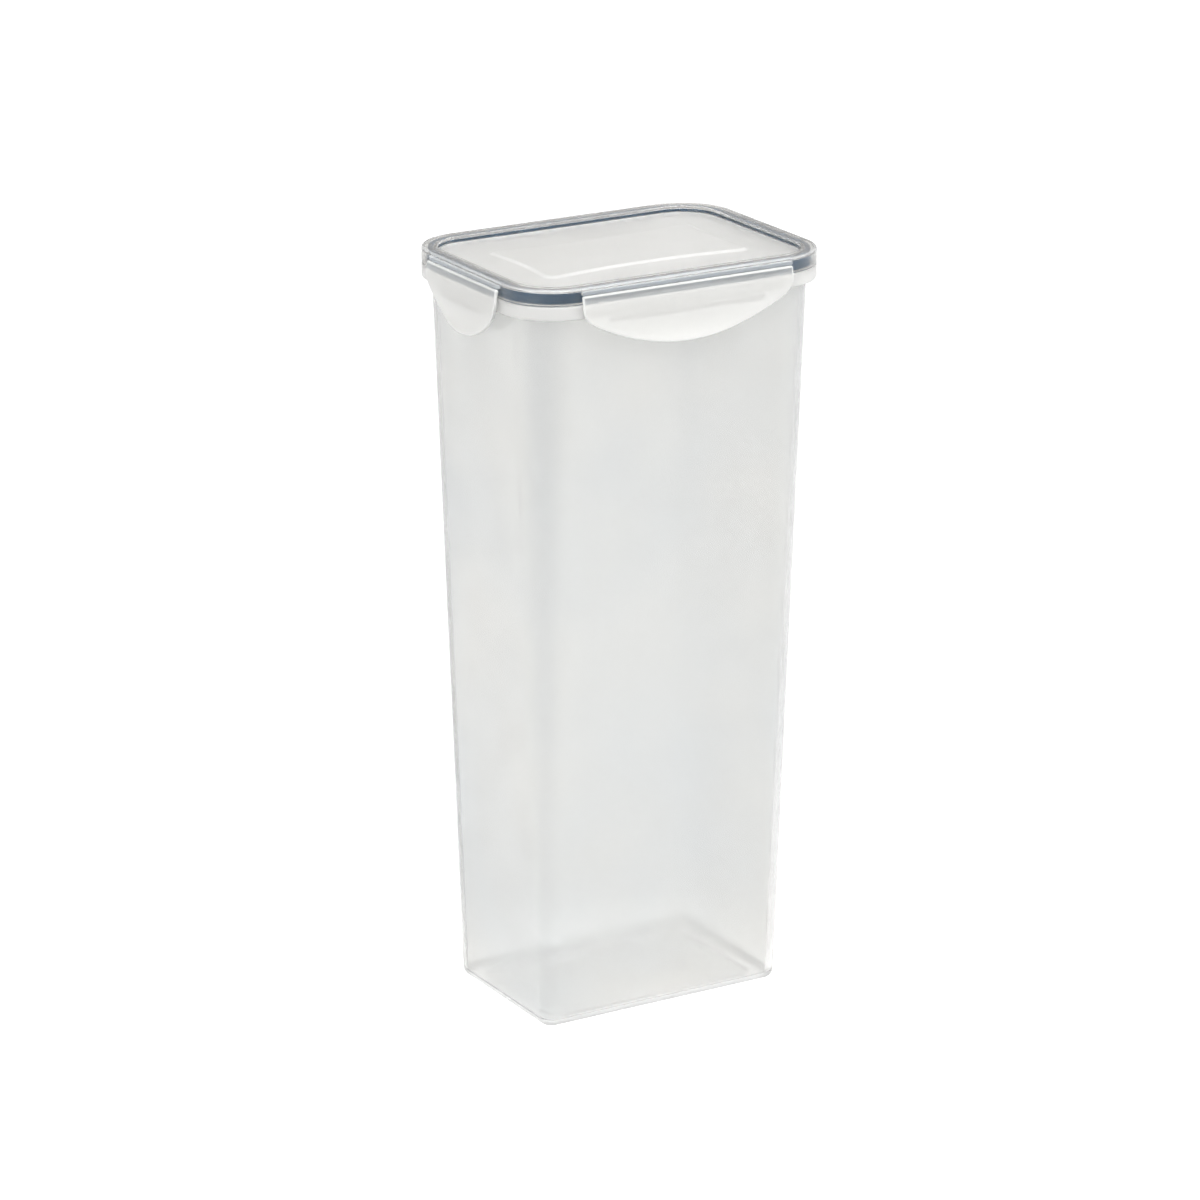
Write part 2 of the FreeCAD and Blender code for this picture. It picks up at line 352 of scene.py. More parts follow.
# %% Underside, foot and outside
WALL, FOOT_EDGE = 1.5, 3.2
FOOT_RING, FOOT_RECESS, RECESS_ROUND = 7.0, 0.7, 0.4
STEP_OUT = np.array([-0.1, 0, 0.3])
STEP_HEIGHT = np.array([FOOT_RECESS - 0.1, 0.1, 0])
EDGE_GAP, WALL_ROWS = 4.0, 48
INWARDS = np.array([1, 0.97, 0.85, 0.6, 0.3, 0])

quarter = np.linspace(0, math.pi / 2, 7)
falling, rising = 1 - np.sin(quarter), 1 - np.cos(quarter)
recess_x, recess_y = FOOT_X - FOOT_RING, FOOT_Y - FOOT_RING
underside = scaled_rings(
    recess_x - RECESS_ROUND, recess_y - RECESS_ROUND, FOOT_CORNER, FOOT_RECESS, INWARDS[::-1])
foot_step = rings(recess_x + STEP_OUT, recess_y + STEP_OUT, FOOT_CORNER, STEP_HEIGHT)
foot_edge = body_rings(FOOT_EDGE * falling, FOOT_EDGE * rising)
outside = body_rings(0, np.linspace(FOOT_EDGE + EDGE_GAP, COLLAR_TOP - WALL, WALL_ROWS))
box_rows = [underside, foot_step, foot_edge, outside]
print("rows from underside to outside", [len(rows) for rows in box_rows])

# %% Collar, lip and inside
COLLAR_WALL = 1.4
LIP_OUT, LIP_IN = 3.2, 4.4
COLLAR_ROUNDS = (0.2, 0.5, 0.6, 0.3, 0.3, 0.35, 0.35, 0)
FLOOR, FLOOR_EDGE, FLOOR_CORNER, FLOOR_GAP = 1.8, 2.0, 1.5, 0.5
INSIDE_ROUND = 1.6

under_lid, collar_low, lip_depth = TOP - COLLAR_TOP, TOP - COLLAR_END, TOP - LIP_TOP
collar = rim_rings(rounded(
    [(COLLAR_WALL, under_lid + WALL), (COLLAR_WALL, collar_low), (0, collar_low), (0, under_lid),
     (LIP_OUT, under_lid), (LIP_OUT, lip_depth), (LIP_IN, lip_depth), (LIP_IN, under_lid)],
    COLLAR_ROUNDS))
inside = body_rings(
    WALL, np.linspace(COLLAR_TOP, FLOOR + FLOOR_EDGE + EDGE_GAP, WALL_ROWS), INSIDE_ROUND)
floor_edge = body_rings(WALL + FLOOR_EDGE * rising, FLOOR + FLOOR_EDGE * falling, INSIDE_ROUND)
floor_inset = WALL + FLOOR_EDGE + FLOOR_GAP
floor = scaled_rings(FOOT_X - floor_inset, FOOT_Y - floor_inset, FLOOR_CORNER, FLOOR, INWARDS)
box_rows += [collar, inside, floor_edge, floor]
print("rows of the whole box", sum(len(rows) for rows in box_rows))

# %% [markdown]
# ### Finishes of the box
#
# The wall is the clearest part of the box. Its upright corners carry painted shade, darker colour for the
# eye looking along more plastic there, and the mesh keeps a number for each point that tints them. The
# collar is frosted: from outside it is two walls with a gap between. The foot's edge is a cloudy grey,
# painted darker as shade along the bottom, which gives the clear box an end that shows on a white floor.

# %% Box plastics
# The last colour is painted shade for the wall's upright corners.
box_plastic = cloudy_plastic(
    "natural box plastic", (0.811, 0.823, 0.826), (0.851, 0.847, 0.831), 0.88, 0.19,
    painted_corner_shade=(0.755, 0.765, 0.765))
collar_plastic = cloudy_plastic(
    "frosted collar plastic", (0.88, 0.88, 0.87), (0.91, 0.91, 0.9), 0.62, 0.33)
# Cloudy finish, and painted shade in its darker grey along the bottom edge.
painted_shade_foot_plastic = cloudy_plastic(
    "cloudy foot plastic with painted shade", (0.63, 0.63, 0.625), (0.66, 0.66, 0.655), 0.55, 0.33)

# %% Box skin with painted shade on the corners
FOOT_SHADE, SHADE_RISE = 0.2, 0.8


def keep_corner_shade(piece):
    """Keeps "corner", the painted shade: sin(2t) squared on a corner's quarter turn t, less towards the
    foot.
    """
    places = np.zeros(len(piece.data.vertices) * 3)
    piece.data.vertices.foreach_get("co", places)
    x, y, z = np.abs(places.reshape(-1, 3).T) / MM
    half_x, half_y, corner = body_outline(z)
    turn = np.arctan2((y - half_y + corner).clip(0), (x - half_x + corner).clip(0))
    weight = np.sin(2 * turn) ** 2 * (FOOT_SHADE + SHADE_RISE * z / COLLAR_END)
    piece.data.attributes.new("corner", "FLOAT", "POINT").data.foreach_set("value", weight)
    print(piece.name, "corner weight up to", round(weight.max(), 2))


box = skin("storage_box", np.concatenate(box_rows), box_plastic)
keep_corner_shade(box)

# %% [markdown]
# ### Which face gets which finish
#
# A finish goes to faces by where they lie and which way they look. Where a face lies is told by its
# height and by how far in from the skirt's face it is.

# %% Finishes by face


def inset_of(x, y):
    """How far in from the skirt's face a place is, negative outside.

    It is the corner radius less the distance to the rectangle of the corners' centres, and inside
    that rectangle the radius plus the distance to its nearest side.
    """
    past = np.abs(np.stack([x, y], -1)) - np.array([HALF_X, HALF_Y]) + CORNER
    return CORNER - np.linalg.norm(past.clip(0), axis=1) - past.max(1).clip(None, 0)


def face_vectors(piece, what):
    """Three arrays x, y, z of the faces' middles in millimetres ("center") or directions ("normal")."""
    values = np.zeros(len(piece.data.polygons) * 3)
    piece.data.polygons.foreach_get(what, values)
    return values.reshape(-1, 3).T / (MM if what == "center" else 1)


def share_out(piece, finishes):
    """Gives faces further finishes: each pair is a finish and its faces, and the first match wins."""
    for finish, _ in finishes:
        piece.data.materials.append(finish)
    choice = np.select([faces for _, faces in finishes], list(range(1, len(finishes) + 1)))
    piece.data.polygons.foreach_set("material_index", choice.astype(np.int32))
    print(piece.name, "faces per finish", np.bincount(choice).tolist())


print("inset of the middle", inset_of(np.zeros(1), np.zeros(1)).tolist())

# %% Faces of the box
FACES_UP = 0.3
COLLAR_MARGIN, LIP_MARGIN = 1.0, 0.05
FOOT_MARGIN, RECESS_MARGIN = 0.2, 0.5

x, y, z = face_vectors(box, "center")
upwards = face_vectors(box, "normal")[2]
on_collar = (z > COLLAR_END - COLLAR_MARGIN) & (inset_of(x, y) < LIP_OUT - LIP_MARGIN)
past_recess = (np.abs(x) > recess_x - RECESS_MARGIN) | (np.abs(y) > recess_y - RECESS_MARGIN)
on_foot = (z < FOOT_EDGE + FOOT_MARGIN) & (upwards < FACES_UP) & past_recess
# The foot's faces get the darker grey of painted shade.
share_out(box, [(collar_plastic, on_collar), (painted_shade_foot_plastic, on_foot)])
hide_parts("box_body")
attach(box, "box")

# %% [markdown]
# ## Lid
#
# The lid is one continuous skin as well: plateau, sunk panel, rim, skirt, seal channel and the flat
# underside. The plateau's four edges bow inwards, which is made by pinching plain rings along the
# middle of each side.

# %% Plateau
PANEL_SINK = 2.3
PLATEAU_X, PLATEAU_Y, PLATEAU_CORNER, PLATEAU_RISE = 42.0, 22.5, 5.0, 0.7
LONG_BOW, SHORT_BOW = 4.0, 2.0
EDGE_HALF, SLOPE_HALF, SLOPE_ROUND = 2.0, 0.7, 1.5


def pinched(grid):
    """Bows the plateau's edges in: each coordinate shrinks by bow * (1 - (other / half)^2)."""
    x, y, z = np.moveaxis(grid, -1, 0)
    bow_x = 1 - SHORT_BOW / PLATEAU_X * (1 - np.clip(y / PLATEAU_Y, -1, 1) ** 2)
    bow_y = 1 - LONG_BOW / PLATEAU_Y * (1 - np.clip(x / PLATEAU_X, -1, 1) ** 2)
    return np.stack([x * bow_x, y * bow_y, z], -1)


edge = rounded(
    [(-EDGE_HALF, PLATEAU_RISE), (-SLOPE_HALF, PLATEAU_RISE), (SLOPE_HALF, 0), (EDGE_HALF, 0)],
    (0, SLOPE_ROUND, SLOPE_ROUND, 0))
edge_out, edge_up = edge[1:].T
field = scaled_rings(
    PLATEAU_X - EDGE_HALF, PLATEAU_Y - EDGE_HALF, PLATEAU_CORNER - EDGE_HALF,
    TOP - PANEL_SINK + PLATEAU_RISE, INWARDS[::-1])
slope = rings(
    PLATEAU_X + edge_out, PLATEAU_Y + edge_out, PLATEAU_CORNER + edge_out, TOP - PANEL_SINK + edge_up)
plateau = pinched(np.concatenate([field, slope]))
print("rows of the plateau", len(plateau))

# %% [markdown]
# ### Rim and ledges
#
# The rim is a flat-topped band that turns down into the skirt. Along the middle of each side the skirt
# carries a small ledge that the living hinge hangs from. The ledge is a bump on the same profile,
# switched on between its ends, so nothing overlaps. Beside the ledge its rows lie flat on the skirt,
# and a little extra depth from row to row keeps them apart there.

# %% Rim and ledges
RIM_WIDTH, PANEL_MARGIN = 5.8, 6.0
RIM_ROUNDS, RIM_STEPS = (0, 0.4, 0.5, 0.9, 0), 6
LONG_LEDGE, SHORT_LEDGE = 42.85, 24.9
LEDGE_REACH, LEDGE_TOP, LEDGE_END, LEDGE_ROUND = 1.3, 0.9, 2.2, 0.4
ROW_GAP, BUMP_GAPS, ON_FACE = 0.02, (0.03, 0.06), 0.01


def with_ledges(grid, reach):
    """Pushes rows outwards along the four ledges; reach holds each row's distance."""
    x, y, z = np.moveaxis(grid, -1, 0)
    on_long = (np.abs(np.abs(y) - HALF_Y) < ON_FACE) & (np.abs(x) < LONG_LEDGE)
    on_short = (np.abs(np.abs(x) - HALF_X) < ON_FACE) & (np.abs(y) < SHORT_LEDGE)
    reach = reach[:, None]
    return np.stack([x + np.sign(x) * on_short * reach, y + np.sign(y) * on_long * reach, z], -1)


rim = rim_rings(rounded(
    [(RIM_WIDTH + PANEL_MARGIN, PANEL_SINK), (RIM_WIDTH, PANEL_SINK), (RIM_WIDTH, 0), (0, 0),
     (0, LEDGE_TOP + ROW_GAP)],
    RIM_ROUNDS, RIM_STEPS))
bump_out, bump_depth = rounded(
    [(0, LEDGE_TOP), (LEDGE_REACH, LEDGE_TOP), (LEDGE_REACH, LEDGE_END), (0, LEDGE_END)],
    (0, LEDGE_ROUND, LEDGE_ROUND, 0), RIM_STEPS).T
bump_depth = bump_depth + np.linspace(*BUMP_GAPS, len(bump_depth))
plain_skirt = rim_rings(np.stack([np.zeros(len(bump_depth)), bump_depth], -1))
ledges = with_ledges(plain_skirt, bump_out)
print("rows of the rim", len(rim), "and of the ledges", len(ledges))

# %% Seal channel and underside
RIM_WALL, PANEL = 1.2, 1.3
SKIRT_START = LEDGE_END + 0.15
BELOW_ROUNDS = (0, 0.3, 0.3, 0.3, 0.3, 0.3, 0.3, 0.4, 0)
UNDER_MARGIN, UNDER_CORNER = 8.0, 10.0

channel_in = RIM_WIDTH - RIM_WALL
panel_depth = PANEL_SINK + PANEL
below = rim_rings(rounded(
    [(0, SKIRT_START), (0, RIM_DEPTH), (RIM_WALL, RIM_DEPTH), (RIM_WALL, RIM_WALL),
     (channel_in, RIM_WALL), (channel_in, RIM_DEPTH), (RIM_WIDTH, RIM_DEPTH), (RIM_WIDTH, panel_depth),
     (RIM_WIDTH + PANEL_MARGIN, panel_depth)],
    BELOW_ROUNDS))
panel_under = scaled_rings(
    HALF_X - RIM_WIDTH - UNDER_MARGIN, HALF_Y - RIM_WIDTH - UNDER_MARGIN, UNDER_CORNER,
    TOP - PANEL_SINK - PANEL, INWARDS)
print("channel", round(channel_in - RIM_WALL, 2), "mm wide, rows below the ledges", len(below))

# %% [markdown]
# ### Finishes of the lid
#
# The skirt is polished and almost clear, so the dark seal shows through it, and the rim's top lets a
# little less through. The outer edge of the rim with its ledges is hazy and faintly blue, and so are
# the films. On the four corners that edge is paler, which is painted light for light passing through
# the corners. The panel is frosted, and the slope round the plateau is a shade whiter, a painted
# highlight for light catching the plateau's edge, which draws the plateau as a pale line.

# %% Lid plastics
rim_plastic = cloudy_plastic(
    "polished rim plastic", (0.96, 0.96, 0.95), (0.985, 0.985, 0.98), 0.98, 0.16)
rim_top_plastic = cloudy_plastic(
    "hazy rim top plastic", (0.96, 0.965, 0.96), (0.985, 0.985, 0.98), 0.9, 0.13)
# Painted light: the corners of the rim's edge are paler, for light passing through them.
painted_light_corner_plastic = cloudy_plastic(
    "rim corner plastic with painted light", (0.92, 0.94, 0.95), (0.95, 0.96, 0.965), 0.74, 0.22)
hinge_plastic = cloudy_plastic(
    "hazy hinge plastic", (0.84, 0.885, 0.91), (0.88, 0.915, 0.935), 0.7, 0.2)
panel_plastic = cloudy_plastic(
    "frosted panel plastic", (0.95, 0.95, 0.935), (0.975, 0.975, 0.965), 0.75, 0.32)
# Painted highlight: the slope is whiter so the plateau's edge reads as a pale line.
painted_highlight_slope_plastic = cloudy_plastic(
    "plateau edge plastic with painted highlight", (0.96, 0.96, 0.945), (0.98, 0.98, 0.97), 0.68, 0.32)

# %% Lid skin and its faces
CLEAR_EDGE, EDGE_MARGIN = 2.3, 0.05
PANEL_START, SLOPE_START = RIM_WIDTH + 0.3, RIM_WIDTH + 3
SLOPE_STEEP, SLOPE_FLAT = 0.5, 0.95

lid = skin("clip_lid", np.concatenate([plateau, rim, ledges, below, panel_under]), rim_plastic)
x, y, z = face_vectors(lid, "center")
upwards = face_vectors(lid, "normal")[2]
inset = inset_of(x, y)
on_slope = (inset > SLOPE_START) & (upwards > SLOPE_STEEP) & (upwards < SLOPE_FLAT)
at_corner = (np.abs(x) > LONG_LEDGE) & (np.abs(y) > SHORT_LEDGE)
on_rim_edge = (inset < -EDGE_MARGIN) | (inset < CLEAR_EDGE) & (upwards > FACES_UP)
on_panel = inset > PANEL_START
on_rim_top = (upwards > FACES_UP) & ~on_panel
# The edge's corners get painted light and the plateau's slope a painted highlight.
share_out(lid, [
    (painted_light_corner_plastic, on_rim_edge & at_corner), (hinge_plastic, on_rim_edge),
    (painted_highlight_slope_plastic, on_slope), (panel_plastic, on_panel), (rim_top_plastic, on_rim_top)])
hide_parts("lid")
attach(lid, "lid")

# %% [markdown]
# ## Seal
#
# The silicone ring lies in the lid's channel: a web over the box's lip, and a leg that hugs the lip
# and reaches almost to the skirt's end. It is the dark band that shows through the rim. The gap
# between leg and skirt leaves the rim its clear outer edge. Silicone is matte with a faint bloom, so
# its shader lets no light through and has little shine.

# %% Silicone
BLOOM_SCALE, BLOOM_DETAIL = 120, 5
SILICONE_ROUGH, SILICONE_SHINE = (0.42, 0.55), 0.12


def silicone(name, dark, light):
    """Soft matte silicone with a faint bloom: one noise drives both colour and roughness."""
    material, nodes, links, shader = new_material(name)
    bloom = noise(nodes, links, BLOOM_SCALE, BLOOM_DETAIL)
    links.new(two_tone(nodes, links, bloom, dark, light), shader.inputs["Base Color"])
    links.new(between(nodes, links, bloom, *SILICONE_ROUGH), shader.inputs["Roughness"])
    shader.inputs["Specular IOR Level"].default_value = SILICONE_SHINE
    print(name, "rough", SILICONE_ROUGH)
    return material


seal_silicone = silicone("blue-grey silicone", (0.004, 0.05, 0.11), (0.009, 0.064, 0.135))

# %% Seal
SEAL_FIT, SEAL_LEG = 0.1, 0.7
SEAL_TOP, SEAL_END = RIM_WALL + 0.02, RIM_DEPTH - 0.5
SEAL_ROUNDS = (0.3, 0.35, 0.3, 0.2, 0.3, 0.3)

seal_out, seal_in = LIP_OUT - SEAL_FIT - SEAL_LEG, channel_in - SEAL_FIT
leg_in = seal_out + SEAL_LEG
seal_profile = rounded(
    [(seal_out, SEAL_TOP), (seal_in, SEAL_TOP), (seal_in, lip_depth), (leg_in, lip_depth),
     (leg_in, SEAL_END), (seal_out, SEAL_END)],
    SEAL_ROUNDS)
seal = skin("lid_seal_ring", rim_rings(seal_profile), seal_silicone, wrap_rows=True)
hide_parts("lid_seal")
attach(seal, "lid")

# %% [markdown]
# ## Flaps
#
# A flap is a thin D-shaped plate. Its top edge is a half round on the hinge line, it bulges over the
# collar, dips under it and flares to a lip for the finger. Each row of the grid is the closed outline
# of the plate at one place along the hinge, cut off at the depth where the D ends there.

# %% Outline and section of a flap
AXIS_OUT, AXIS_DEPTH, HALF_WALL = 1.0, 3.3, 0.7
FLAP_DROP, FLAP_CORNER = 23.7, 8.0
SECTION_DEPTHS = np.array([3.3, 8.5, 15.23, 23.7])
SECTION_OUTS = np.array([1.7, 2.1, 1.4, 2.7])
section = np.polyfit(SECTION_DEPTHS, SECTION_OUTS, 3)


def flap_depth(x, half, curve):
    """Depth where the D ends at x: a long arc, then a corner arc that is tangent to it."""
    across = half - FLAP_CORNER
    centre = FLAP_DROP - curve
    corner = centre + math.sqrt((curve - FLAP_CORNER) ** 2 - across ** 2)
    meet = curve * across / (curve - FLAP_CORNER)
    long_arc = centre + np.sqrt(curve ** 2 - np.minimum(np.abs(x), meet) ** 2)
    corner_arc = corner + np.sqrt(np.maximum(FLAP_CORNER ** 2 - (np.abs(x) - across) ** 2, 0))
    return np.where(np.abs(x) < meet, long_arc, corner_arc)


print("cubic of the section", np.round(section, 5).tolist())

# %% Places and levels on a flap
BAR_NOSE, BAR_TIP, BAR_FOOT, BAR_STEP = 11.3, 12.1, 13.7, 0.05
BAR_LEVELS = np.concatenate([
    np.linspace(AXIS_DEPTH, BAR_NOSE, 12)[1:], [BAR_NOSE + BAR_STEP, BAR_TIP, BAR_FOOT]])
BAR_END, BEYOND_BAR = 0.4, 1.5
BAR_PLACES, SIDE_PLACES, END_PLACES, REST_LEVELS = 24, 14, 9, 12
SHORT_SHARE = 0.8


def flap_places(half, bar):
    """Places along the hinge: even over the locking bar and beyond it, close together at the ends."""
    over_bar = np.linspace(0, bar, BAR_PLACES)
    beyond = np.linspace(bar + BEYOND_BAR, half - HALF_WALL, SIDE_PLACES)[:-1]
    ends = half - HALF_WALL * (1 - np.sin(np.linspace(0, math.pi / 2, END_PLACES)))
    side = np.concatenate([over_bar, [bar + BAR_END], beyond, ends])
    return np.concatenate([-side[:0:-1], side])


def half_wall(x, half):
    """Half the wall at x, which falls to nothing as a quarter circle at the ends and so rounds them."""
    past = (np.abs(x) - (half - HALF_WALL)).clip(0) / HALF_WALL
    return HALF_WALL * np.sqrt(np.clip(1 - past ** 2, 0, 1))


def flap_levels(low):
    """Depths of the points at each place: the hinge line, the bar's levels, then evenly down to low.

    Where the D is short, the bar's levels are drawn up to a share of its depth.
    """
    reach = np.minimum(1, SHORT_SHARE * (low - AXIS_DEPTH) / (BAR_FOOT - AXIS_DEPTH))
    depth = AXIS_DEPTH + (BAR_LEVELS - AXIS_DEPTH) * reach[:, None]
    rest = depth[:, -1:] + (low[:, None] - depth[:, -1:]) * np.linspace(0, 1, REST_LEVELS)[1:]
    return np.concatenate([np.full((len(low), 1), AXIS_DEPTH), depth, rest], 1)


print("levels of the locking bar", np.round(BAR_LEVELS[-3:], 2).tolist())

# %% Grid of a flap
LONG_HALF, LONG_CURVE, LONG_BAR = 43.0, 78.0, 31.0
BAR_REACH = -1.2
HINGE_ROUND = np.linspace(math.pi, 0, 11)[1:-1]
LIP_ROUND = np.linspace(0, math.pi, 9)[1:-1]


def flap_grid(half, curve, bar):
    """Closed sections along the hinge, shape (places, points, 3) as (along, out, depth).

    The plate's middle surface lies half a wall inside the section's curve, and the faces lie half a
    wall, h, to either side of it. Half rounds of radius h join them at the hinge line and at the lip.
    Between the bar's ends the inner face steps in to the bar at its nose and tip.
    """
    x = flap_places(half, bar)
    h = half_wall(x, half)[:, None]
    depth = flap_levels(flap_depth(x, half, curve) - h[:, 0])
    middle = np.polyval(section, depth) - HALF_WALL
    catch = np.zeros(depth.shape[1])
    catch[len(BAR_LEVELS) - 2:len(BAR_LEVELS)] = 1
    held = (np.abs(x) <= bar)[:, None] * catch
    inner = middle - h
    inner = inner + held * (BAR_REACH - inner)
    top, end = middle[:, :1], middle[:, -1:]
    out = np.concatenate(
        [top + h * np.cos(HINGE_ROUND), middle + h, end + h * np.cos(LIP_ROUND), inner[:, ::-1]], 1)
    top, end = depth[:, :1], depth[:, -1:]
    down = np.concatenate(
        [top - h * np.sin(HINGE_ROUND), depth, end + h * np.sin(LIP_ROUND), depth[:, ::-1]], 1)
    return np.stack([np.broadcast_to(x[:, None], out.shape), out, down], -1)


print("grid of a long flap", flap_grid(LONG_HALF, LONG_CURVE, LONG_BAR).shape)

# %% [markdown]
# ### Finishes of the flaps
#
# The plate is whitish and frosted, because it lies over the collar. Its outline is a less clear copy
# of the plate and reads as a bright line, painted light for light that gathers in the edges. The strip
# along the hinge is clearer, so the seal behind it shows as a bluish band.

# %% Flap plastics
flap_plastic = cloudy_plastic(
    "natural flap plastic", (0.97, 0.97, 0.955), (0.99, 0.99, 0.975), 0.67, 0.34)
# Painted light: the outline is less clear, so it reads as a bright line.
painted_light_edge_plastic = cloudy_plastic(
    "edge plastic with painted light", (0.93, 0.94, 0.93), (0.95, 0.955, 0.945), 0.52, 0.33)
strip_plastic = cloudy_plastic(
    "clear hinge strip plastic", (0.9, 0.93, 0.945), (0.93, 0.95, 0.96), 0.86, 0.34)

# %% Flaps on the four sides
SHORT_HALF, SHORT_CURVE, SHORT_BAR = 25.0, 27.5, 15.0
LONG_FLAP, SHORT_FLAP = (LONG_HALF, LONG_CURVE, LONG_BAR), (SHORT_HALF, SHORT_CURVE, SHORT_BAR)
SIDES = {"front": LONG_FLAP, "back": LONG_FLAP, "left": SHORT_FLAP, "right": SHORT_FLAP}
SIDE_ORDER = ("front", "right", "back", "left")
EDGE_BAND, HINGE_STRIP = HALF_WALL + 0.02, 2.0


def on_side(grid, side):
    """Turns (along, out, depth) into places on one side of the lid: a quarter turn for each side."""
    along, out, depth = np.moveaxis(grid, -1, 0)
    quarter_turns = SIDE_ORDER.index(side)
    face = (HALF_Y, HALF_X)[quarter_turns % 2]
    x, y = along, -face - out
    for _ in range(quarter_turns):
        x, y = -y, x
    return np.stack([x, y, TOP - depth], -1)


for side, (half, curve, bar) in SIDES.items():
    flap = skin(side + "_clip_flap", on_side(flap_grid(half, curve, bar), side), flap_plastic)
    x, y, z = face_vectors(flap, "center")
    across, depth = np.abs(x if half == LONG_HALF else y), TOP - z
    to_edge = np.minimum(half - across, flap_depth(across, half, curve) - depth)
    to_edge = np.minimum(to_edge, depth - (AXIS_DEPTH - HALF_WALL))
    on_strip = depth < AXIS_DEPTH + HINGE_STRIP
    # The outline band gets the painted light of the bright edge.
    share_out(flap, [(painted_light_edge_plastic, to_edge < EDGE_BAND), (strip_plastic, on_strip)])
    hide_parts(side + "_flap")
    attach(flap, side + "_flap")

# %% [markdown]
# ## Living hinges
#
# The film is a strip 0.3 mm thick between the ledge and the flap's round edge. On the real box it
# bends when the flap swings; here its mesh stays fixed in place.

# %% Living hinges
FILM, FILM_PLACES, FILM_LEVELS = 0.3, 40, 9
FILM_OUT = AXIS_OUT - 0.45
FILM_TOP, FILM_END = LEDGE_END - 0.02, AXIS_DEPTH - 0.5


def film_grid(half):
    """Thin section along the hinge: down the outer face, up the inner one, drawn together at both ends."""
    x = np.pad(np.linspace(-half, half, FILM_PLACES), 1, mode="edge")
    thick = np.pad(np.full(FILM_PLACES, FILM / 2), 1)
    depth = np.linspace(FILM_TOP, FILM_END, FILM_LEVELS)
    down = np.concatenate([depth, depth[::-1]])
    out = FILM_OUT + thick[:, None] * np.repeat([1, -1], FILM_LEVELS)
    return np.stack(np.broadcast_arrays(x[:, None], out, down), -1)


for side, (half, _, _) in SIDES.items():
    film = skin(side + "_living_hinge", on_side(film_grid(half - HALF_WALL), side), hinge_plastic)
    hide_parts(side + "_hinge_film")
    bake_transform(film)

# %% [markdown]
# ## Floor
#
# The picture was taken on white. A plain white table would still put a dark shadow into the clear
# foot, so the floor gives off light of its own: dim on the camera's side, white from a little before
# the box, and brightest right under it.

# %% Values along a line and round a point
AZIMUTH, ELEVATION = math.radians(-30.622), math.radians(18.079)
AWAY = (-math.sin(AZIMUTH), math.cos(AZIMUTH), 0.0)


def smooth_step(nodes, links, value, low, high):
    """0 to 1 as a value goes from low to high, slow at both ends."""
    remap = nodes.new("ShaderNodeMapRange")
    remap.interpolation_type = "SMOOTHSTEP"
    remap.inputs["From Min"].default_value = low
    remap.inputs["From Max"].default_value = high
    links.new(value, remap.inputs["Value"])
    return remap.outputs["Result"]


def along(nodes, links, where, direction):
    """How far a place or direction lies along a line: the dot product of the two."""
    source = nodes.new("ShaderNodeTexCoord")
    dot = nodes.new("ShaderNodeVectorMath")
    dot.operation = "DOT_PRODUCT"
    dot.inputs[1].default_value = direction
    links.new(source.outputs[where], dot.inputs[0])
    return dot.outputs["Value"]


def from_origin(nodes, links):
    """How far a place is from the object's origin: the length of its coordinates."""
    source = nodes.new("ShaderNodeTexCoord")
    length = nodes.new("ShaderNodeVectorMath")
    length.operation = "LENGTH"
    links.new(source.outputs["Object"], length.inputs[0])
    return length.outputs["Value"]


print("away from the camera", np.round(AWAY, 3).tolist())

# %% Floor
FLOOR_HALF, FLOOR_ROUGH = 6, 0.8
FLOOR_DARK, FLOOR_LIGHT = (0.19, 0.19, 0.19), (0.21, 0.21, 0.21)
FLOOR_SCALE, FLOOR_DETAIL = 3, 2
NEAR_GLOW, FAR_GLOW, BOX_GLOW = (0.3, 0.3, 0.3), (0.95, 0.95, 0.95), (1.35, 1.35, 1.35)
GLOW_RISE, BOX_RISE = (-0.9, -0.3), (0.10, 0.03)


def floor_glow(nodes, links):
    """Light that the floor gives off: a smooth step along the view, then one towards the origin."""
    far = smooth_step(nodes, links, along(nodes, links, "Object", AWAY), *GLOW_RISE)
    open_floor = two_tone(nodes, links, far, NEAR_GLOW, FAR_GLOW)
    near_box = smooth_step(nodes, links, from_origin(nodes, links), *BOX_RISE)
    return towards(nodes, links, near_box, open_floor, BOX_GLOW)


def make_floor(name, half):
    """Pale square floor with a glow."""
    mesh = bpy.data.meshes.new(name)
    corners = [(-half, -half, 0), (half, -half, 0), (half, half, 0), (-half, half, 0)]
    mesh.from_pydata(corners, [], [(0, 1, 2, 3)])
    floor = bpy.data.objects.new(name, mesh)
    bpy.context.scene.collection.objects.link(floor)
    material, nodes, links, shader = new_material("pale floor")
    tone = noise(nodes, links, FLOOR_SCALE, FLOOR_DETAIL)
    links.new(two_tone(nodes, links, tone, FLOOR_DARK, FLOOR_LIGHT), shader.inputs["Base Color"])
    shader.inputs["Roughness"].default_value = FLOOR_ROUGH
    links.new(floor_glow(nodes, links), shader.inputs["Emission Color"])
    shader.inputs["Emission Strength"].default_value = 1.0
    mesh.materials.append(material)
    print(name, 2 * half, "m wide")


make_floor("floor", FLOOR_HALF)

# %% [markdown]
# ## Light
#
# Cloudy plastic shows what is round it, so the sky matters as much as the lights: warm grey at the
# horizon, which draws the box's sides, and white overhead. Three large soft lights add the gloss.
# Light crosses many walls on its way through the box, so it is given more bounces than usual.

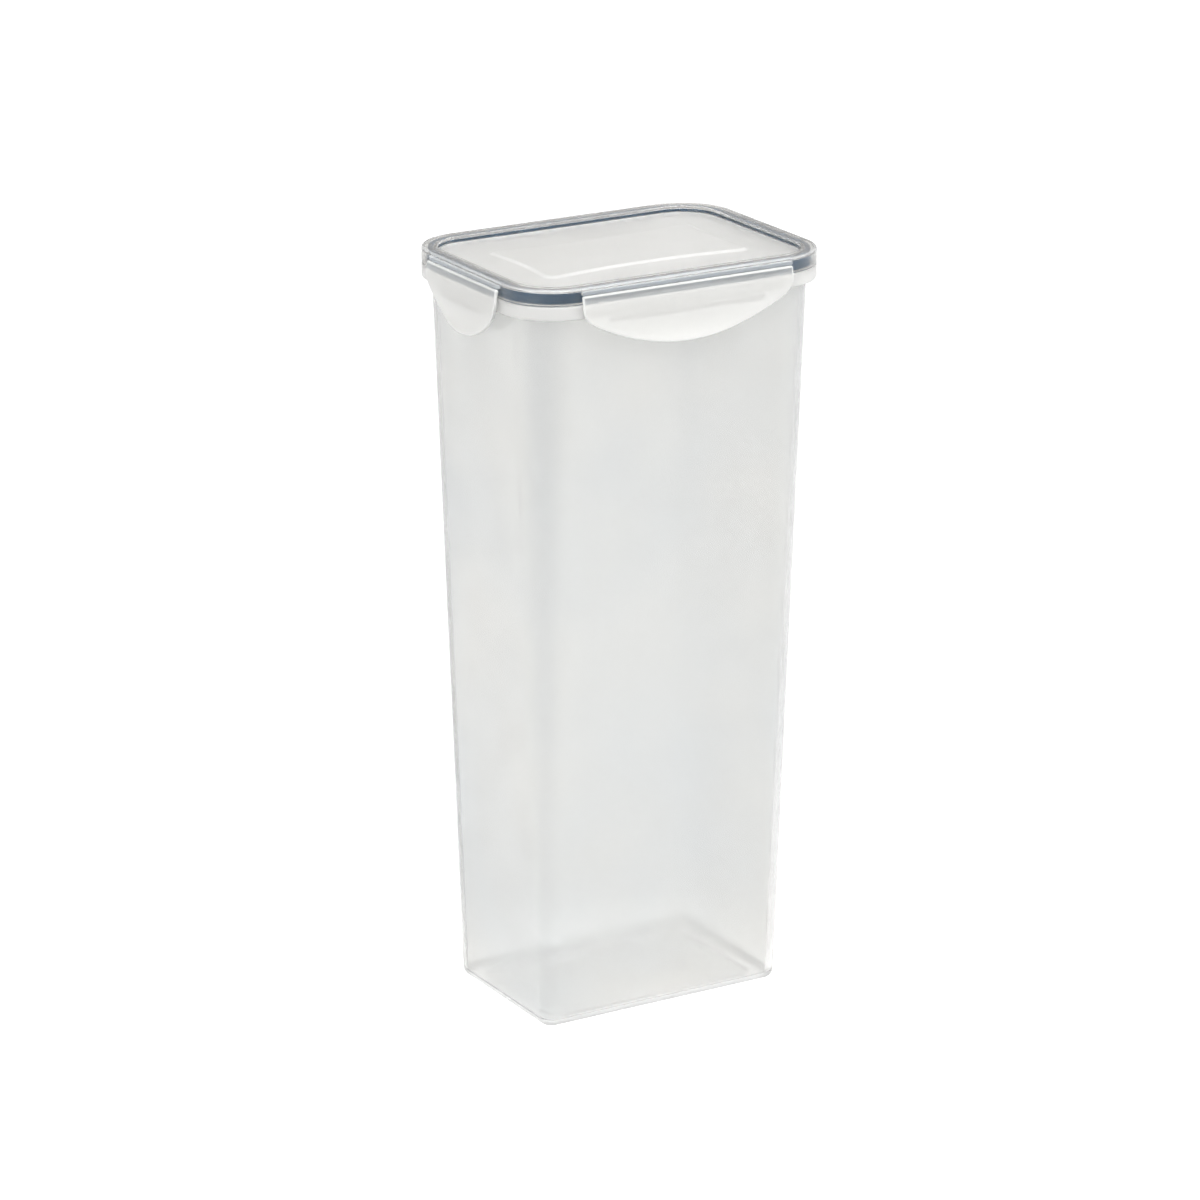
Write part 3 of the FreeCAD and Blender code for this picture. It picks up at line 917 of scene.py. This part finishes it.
# %% Sky and soft lights
SKY_LOW, SKY_HIGH, SKY_RISE = (0.40, 0.385, 0.365), (1.1, 1.1, 1.1), (0.25, 0.8)
UPRIGHT, BOX_MIDDLE = (0, 0, 1), (0, 0, 0.14)
WALL_BOUNCES, GLOSSY_BOUNCES = 24, 12
SOFTBOXES = {
    "left softbox": ((-1.6, -0.6, 1.0), 1.4, 13),
    "right softbox": ((1.5, -1.0, 1.2), 1.4, 21),
    "top softbox": ((-0.2, -0.9, 1.7), 1.2, 21),
}


def make_sky(name):
    """World whose colour goes from the low to the high one by a smooth step of the height."""
    world = bpy.data.worlds.new(name)
    world.use_nodes = True
    nodes, links = world.node_tree.nodes, world.node_tree.links
    height = smooth_step(nodes, links, along(nodes, links, "Generated", UPRIGHT), *SKY_RISE)
    links.new(two_tone(nodes, links, height, SKY_LOW, SKY_HIGH), nodes["Background"].inputs["Color"])
    return world


def soft_light(name, place, target, size, power):
    """Large square area light that faces a point."""
    data = bpy.data.lights.new(name, "AREA")
    data.size = size
    data.energy = power
    light = bpy.data.objects.new(name, data)
    light.location = place
    light.rotation_euler = (Vector(target) - Vector(place)).to_track_quat("-Z", "Y").to_euler()
    bpy.context.scene.collection.objects.link(light)
    print(name, power, "W")


scene = bpy.context.scene
scene.world = make_sky("white studio")
scene.view_settings.view_transform = "Standard"
for name, (place, size, power) in SOFTBOXES.items():
    soft_light(name, place, BOX_MIDDLE, size, power)
scene.cycles.max_bounces = WALL_BOUNCES
scene.cycles.transmission_bounces = WALL_BOUNCES
scene.cycles.glossy_bounces = GLOSSY_BOUNCES

# %% [markdown]
# ## Camera
#
# The camera stands 1.9 m away with a long lens, turned to the left of the front and a little above. A
# long lens keeps the tall sides nearly parallel, as in the picture. Its place and angles were fitted
# to the outlines there.

# %% Camera
PLACE = (-0.9116, -1.5268, 0.7275)
IMAGE, FOCAL, SENSOR = 1200, 5136.5, 36.0

level = math.cos(ELEVATION)
back = Vector((math.sin(AZIMUTH) * level, -math.cos(AZIMUTH) * level, math.sin(ELEVATION)))
camera = bpy.data.objects.new("camera", bpy.data.cameras.new("camera"))
camera.data.sensor_width = SENSOR
camera.data.lens = FOCAL / IMAGE * SENSOR
camera.location = PLACE
camera.rotation_mode = "QUATERNION"
camera.rotation_quaternion = (-back).to_track_quat("-Z", "Y")
scene.collection.objects.link(camera)
scene.camera = camera
print("lens", round(camera.data.lens, 1), "mm")
